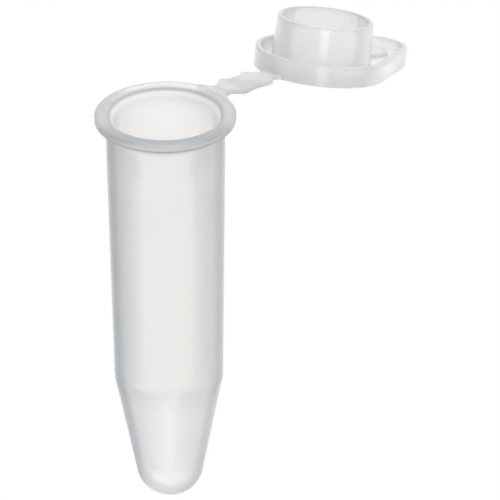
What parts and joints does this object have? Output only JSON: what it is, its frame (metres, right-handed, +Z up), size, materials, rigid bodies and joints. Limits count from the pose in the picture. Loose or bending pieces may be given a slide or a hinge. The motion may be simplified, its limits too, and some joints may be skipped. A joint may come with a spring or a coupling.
{
  "type": "microcentrifuge tube",
  "caption": "Round-bottomed microcentrifuge tube with a rimmed mouth and a plug lid on a folding strap that swings over and presses shut.",
  "frame": {"origin": "on the tube's axis, in the plane of the rim's underside, where the tube hangs in a rack", "axes": "+Z up along the tube's axis toward the mouth, +X from the tube along the strap to the open lid"},
  "size_m": [0.0361, 0.0128, 0.0437],
  "materials": {
    "tube_wall": "translucent natural polypropylene, moulded smooth",
    "hinge_web": "translucent natural polypropylene, thin flexing web",
    "lid_moulding": "translucent natural polypropylene, moulded smooth"
  },
  "bodies": {
    "tube": {"tube_body": "tube_wall", "rim_collar": "tube_wall", "rim_hinge_root": "hinge_web", "rim_hinge_film": "hinge_web"},
    "strap_near": {"strap_link_tube_side": "hinge_web"},
    "strap_far": {"mid_hinge_film": "hinge_web", "strap_link_lid_side": "hinge_web"},
    "lid": {"lid_hinge_film": "hinge_web", "lid_hinge_root": "hinge_web", "lid_plate": "lid_moulding", "thumb_tab": "lid_moulding", "lid_skirt": "lid_moulding", "sealing_plug": "lid_moulding", "tab_rib": "lid_moulding"}
  },
  "joints": [
    {"name": "rim_hinge", "type": "hinge", "parent": "tube", "child": "strap_near", "pos_m": [0.0069, 0, 0.00035], "axis": [0, -0.9993, 0.0384], "range_deg": [-15, 20.48]},
    {"name": "strap_fold", "type": "hinge", "parent": "strap_near", "child": "strap_far", "pos_m": [0.00981, 0, 0.00035], "axis": [0, -0.9993, 0.0384], "range_deg": [0, 139.05]},
    {"name": "lid_hinge", "type": "hinge", "parent": "strap_far", "child": "lid", "pos_m": [0.01271, 0, 0.00035], "axis": [0, -0.9993, 0.0384], "range_deg": [-20, 33.58]}
  ]
}
